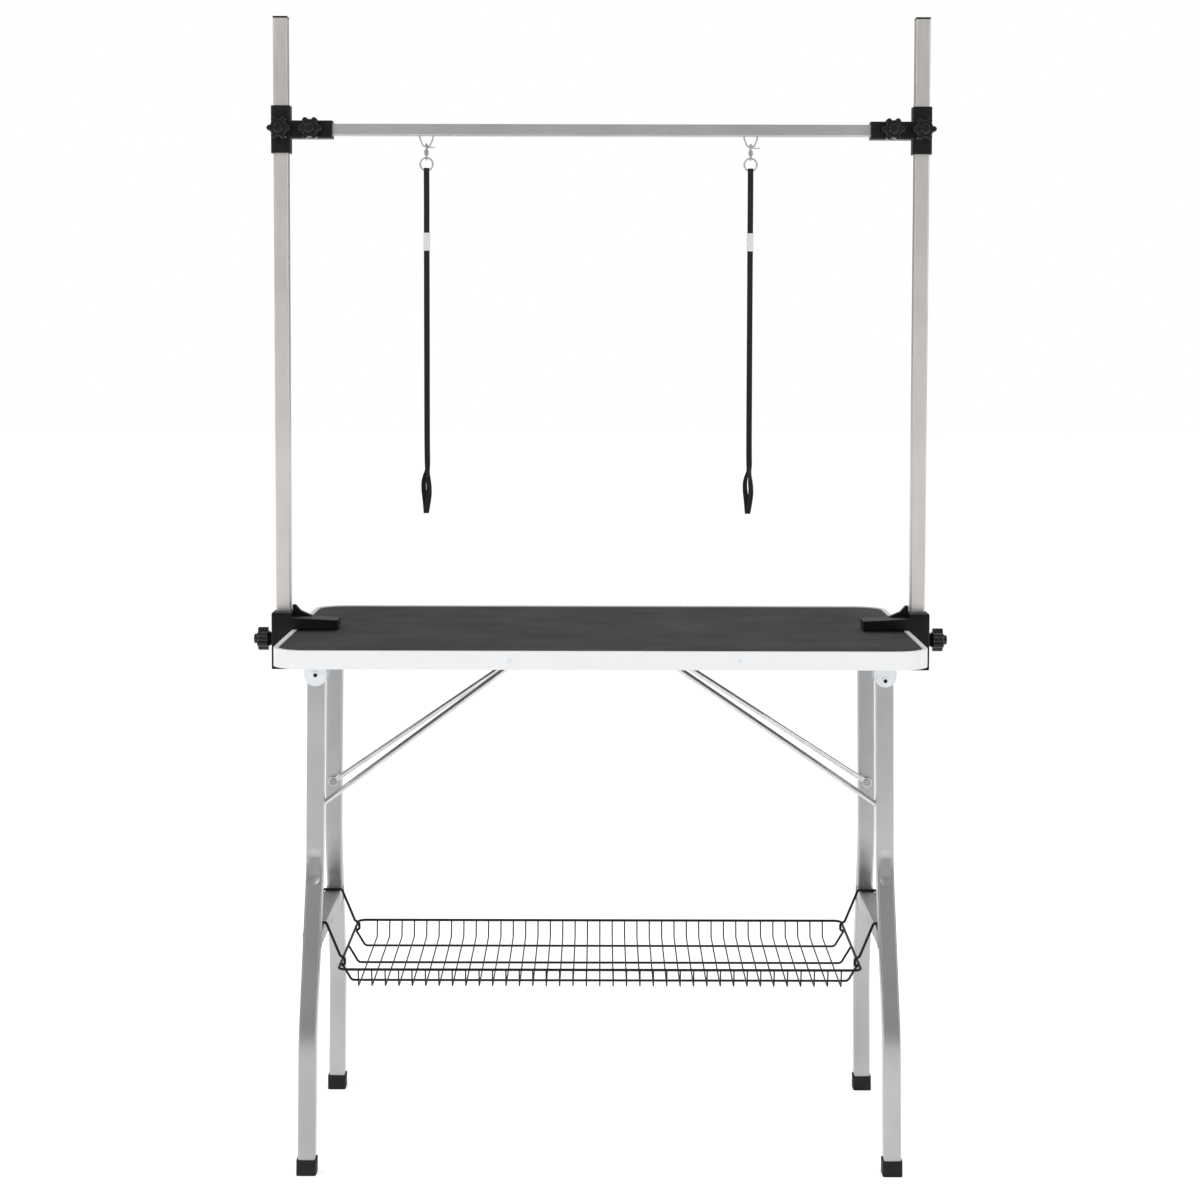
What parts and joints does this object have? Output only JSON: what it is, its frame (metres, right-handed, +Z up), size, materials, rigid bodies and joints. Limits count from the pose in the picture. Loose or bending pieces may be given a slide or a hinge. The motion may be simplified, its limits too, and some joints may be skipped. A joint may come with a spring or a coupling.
{
  "type": "grooming table",
  "caption": "Folding pet grooming table: rubber-topped board on folding leg frames with a wire basket, and an overhead bar on clamped posts with hanging noose leashes.",
  "frame": {"origin": "on the floor, under the middle of the table top", "axes": "+X to the right along the table's length, +Y to the back, +Z up"},
  "size_m": [1.057, 0.6006, 1.7],
  "materials": {
    "mat_rubber": "matte black sheet with a fine pressed texture",
    "board": "dark laminate-faced fibreboard",
    "trim_aluminium": "satin bright edge strip",
    "zinc_steel": "bright zinc plate",
    "silver_tube": "satin silver tube",
    "foot_rubber": "matte black",
    "bright_rod": "bright plated rod",
    "black_wire": "semi-gloss black coating",
    "arm_aluminium": "satin drawn tube",
    "black_casting": "semi-matte black coating",
    "black_moulding": "fine grained black",
    "knob_plastic": "smooth black",
    "bright_fitting": "bright nickel plate",
    "slider_metal": "satin silver",
    "webbing": "woven black tape"
  },
  "bodies": {
    "table": {"edge_trim": "trim_aluminium", "table_board": "board", "rubber_mat": "mat_rubber", "edge_screws": "zinc_steel", "bracket_screws": "zinc_steel", "left_front_bracket": "zinc_steel", "left_rear_bracket": "zinc_steel", "left_pivot_rivets": "zinc_steel", "left_keeper": "zinc_steel", "left_clamp": "black_casting", "right_front_bracket": "zinc_steel", "right_rear_bracket": "zinc_steel", "right_pivot_rivets": "zinc_steel", "right_keeper": "zinc_steel", "right_clamp": "black_casting"},
    "left_legs": {"left_front_leg": "silver_tube", "left_rear_leg": "silver_tube", "left_leg_bar": "silver_tube", "left_feet": "foot_rubber", "left_brace_rivets": "zinc_steel", "left_basket_hooks": "black_wire"},
    "right_legs": {"right_front_leg": "silver_tube", "right_rear_leg": "silver_tube", "right_leg_bar": "silver_tube", "right_feet": "foot_rubber", "right_brace_rivets": "zinc_steel", "right_basket_hooks": "black_wire"},
    "left_brace_rod": {"left_brace": "bright_rod"},
    "right_brace_rod": {"right_brace": "bright_rod"},
    "basket": {"basket_rim": "black_wire", "basket_long_wires": "black_wire", "basket_cross_wires": "black_wire"},
    "left_mast": {"left_post": "arm_aluminium", "left_post_cap": "black_moulding"},
    "right_mast": {"right_post": "arm_aluminium", "right_post_cap": "black_moulding"},
    "arm": {"overhead_bar": "arm_aluminium", "left_connector": "black_moulding", "right_connector": "black_moulding", "eyelets": "bright_fitting"},
    "left_post_grip": {"left_post_knob": "knob_plastic"},
    "left_sleeve_grip": {"left_sleeve_knob": "knob_plastic"},
    "left_bar_grip": {"left_bar_knob": "knob_plastic"},
    "left_jaw_screw": {"left_clamp_screw": "zinc_steel"},
    "left_snap": {"left_snap_hook": "bright_fitting"},
    "left_bolt": {"left_snap_bolt": "bright_fitting"},
    "left_leash": {"left_ring": "bright_fitting", "left_webbing": "webbing"},
    "left_stop": {"left_slider": "slider_metal"},
    "right_post_grip": {"right_post_knob": "knob_plastic"},
    "right_sleeve_grip": {"right_sleeve_knob": "knob_plastic"},
    "right_bar_grip": {"right_bar_knob": "knob_plastic"},
    "right_jaw_screw": {"right_clamp_screw": "zinc_steel"},
    "right_snap": {"right_snap_hook": "bright_fitting"},
    "right_bolt": {"right_snap_bolt": "bright_fitting"},
    "right_leash": {"right_ring": "bright_fitting", "right_webbing": "webbing"},
    "right_stop": {"right_slider": "slider_metal"}
  },
  "joints": [
    {"name": "left_fold", "type": "hinge", "parent": "table", "child": "left_legs", "pos_m": [-0.419, 0, 0.723], "axis": [0, -1, 0], "range_deg": [0, 86]},
    {"name": "left_brace_turn", "type": "hinge", "parent": "left_legs", "child": "left_brace_rod", "pos_m": [-0.4213, 0, 0.52], "axis": [0, 1, 0], "range_deg": [0, 119.2]},
    {"name": "right_fold", "type": "hinge", "parent": "table", "child": "right_legs", "pos_m": [0.419, 0, 0.716], "axis": [0, 1, 0], "range_deg": [0, 76]},
    {"name": "right_brace_turn", "type": "hinge", "parent": "right_legs", "child": "right_brace_rod", "pos_m": [0.42122, 0, 0.52], "axis": [0, -1, 0], "range_deg": [0, 112.9]},
    {"name": "basket_drop", "type": "hinge", "parent": "table", "child": "basket", "pos_m": [0.386, 0, 0.288], "axis": [0, -1, 0], "range_deg": [0, 19.5]},
    {"name": "left_mast_lift", "type": "slide", "parent": "table", "child": "left_mast", "axis": [0, 0, 1], "range_m": [0, 0.06]},
    {"name": "right_mast_lift", "type": "slide", "parent": "table", "child": "right_mast", "axis": [0, 0, 1], "range_m": [0, 0.06]},
    {"name": "arm_height", "type": "slide", "parent": "left_mast", "child": "arm", "axis": [0, 0, 1], "range_m": [-0.165, 0.125]},
    {"name": "left_post_knob_turn", "type": "hinge", "parent": "table", "child": "left_post_grip", "pos_m": [-0.512, 0, 0.76], "axis": [-1, 0, 0], "continuous": true},
    {"name": "left_sleeve_knob_turn", "type": "hinge", "parent": "arm", "child": "left_sleeve_grip", "pos_m": [-0.4825, -0.03, 1.531], "axis": [0, -1, 0], "continuous": true},
    {"name": "left_bar_knob_turn", "type": "hinge", "parent": "arm", "child": "left_bar_grip", "pos_m": [-0.436, -0.03, 1.531], "axis": [0, -1, 0], "continuous": true},
    {"name": "left_jaw_screw_travel", "type": "slide", "parent": "table", "child": "left_jaw_screw", "axis": [0, 0, 1], "range_m": [-0.012, 0]},
    {"name": "left_snap_swing", "type": "hinge", "parent": "arm", "child": "left_snap", "pos_m": [-0.264, 0, 1.507], "axis": [1, 0, 0], "range_deg": [-75, 75]},
    {"name": "left_bolt_pull", "type": "slide", "parent": "left_snap", "child": "left_bolt", "axis": [0, 0, 1], "range_m": [-0.0024, 0], "stiffness_N_per_m": 150, "springref_m": 0.001},
    {"name": "left_leash_swing", "type": "hinge", "parent": "left_snap", "child": "left_leash", "pos_m": [-0.264, 0, 1.48665], "axis": [0, 1, 0], "range_deg": [-18, 18]},
    {"name": "left_stop_slide", "type": "slide", "parent": "left_leash", "child": "left_stop", "axis": [0, 0, 1], "range_m": [-0.28, 0.08]},
    {"name": "right_post_knob_turn", "type": "hinge", "parent": "table", "child": "right_post_grip", "pos_m": [0.512, 0, 0.76], "axis": [1, 0, 0], "continuous": true},
    {"name": "right_sleeve_knob_turn", "type": "hinge", "parent": "arm", "child": "right_sleeve_grip", "pos_m": [0.4825, -0.03, 1.531], "axis": [0, -1, 0], "continuous": true},
    {"name": "right_bar_knob_turn", "type": "hinge", "parent": "arm", "child": "right_bar_grip", "pos_m": [0.436, -0.03, 1.531], "axis": [0, -1, 0], "continuous": true},
    {"name": "right_jaw_screw_travel", "type": "slide", "parent": "table", "child": "right_jaw_screw", "axis": [0, 0, 1], "range_m": [-0.012, 0]},
    {"name": "right_snap_swing", "type": "hinge", "parent": "arm", "child": "right_snap", "pos_m": [0.225, 0, 1.507], "axis": [1, 0, 0], "range_deg": [-75, 75]},
    {"name": "right_bolt_pull", "type": "slide", "parent": "right_snap", "child": "right_bolt", "axis": [0, 0, 1], "range_m": [-0.0024, 0], "stiffness_N_per_m": 150, "springref_m": 0.001},
    {"name": "right_leash_swing", "type": "hinge", "parent": "right_snap", "child": "right_leash", "pos_m": [0.225, 0, 1.48665], "axis": [0, 1, 0], "range_deg": [-18, 18]},
    {"name": "right_stop_slide", "type": "slide", "parent": "right_leash", "child": "right_stop", "axis": [0, 0, 1], "range_m": [-0.28, 0.08]}
  ],
  "couplings": [
    {"joint": "left_brace_turn", "follows": "left_fold", "ratio": 1.386},
    {"joint": "right_brace_turn", "follows": "right_fold", "ratio": 1.484},
    {"joint": "basket_drop", "follows": "left_fold", "ratio": 0.2267},
    {"joint": "right_mast_lift", "follows": "left_mast_lift", "ratio": 1}
  ]
}
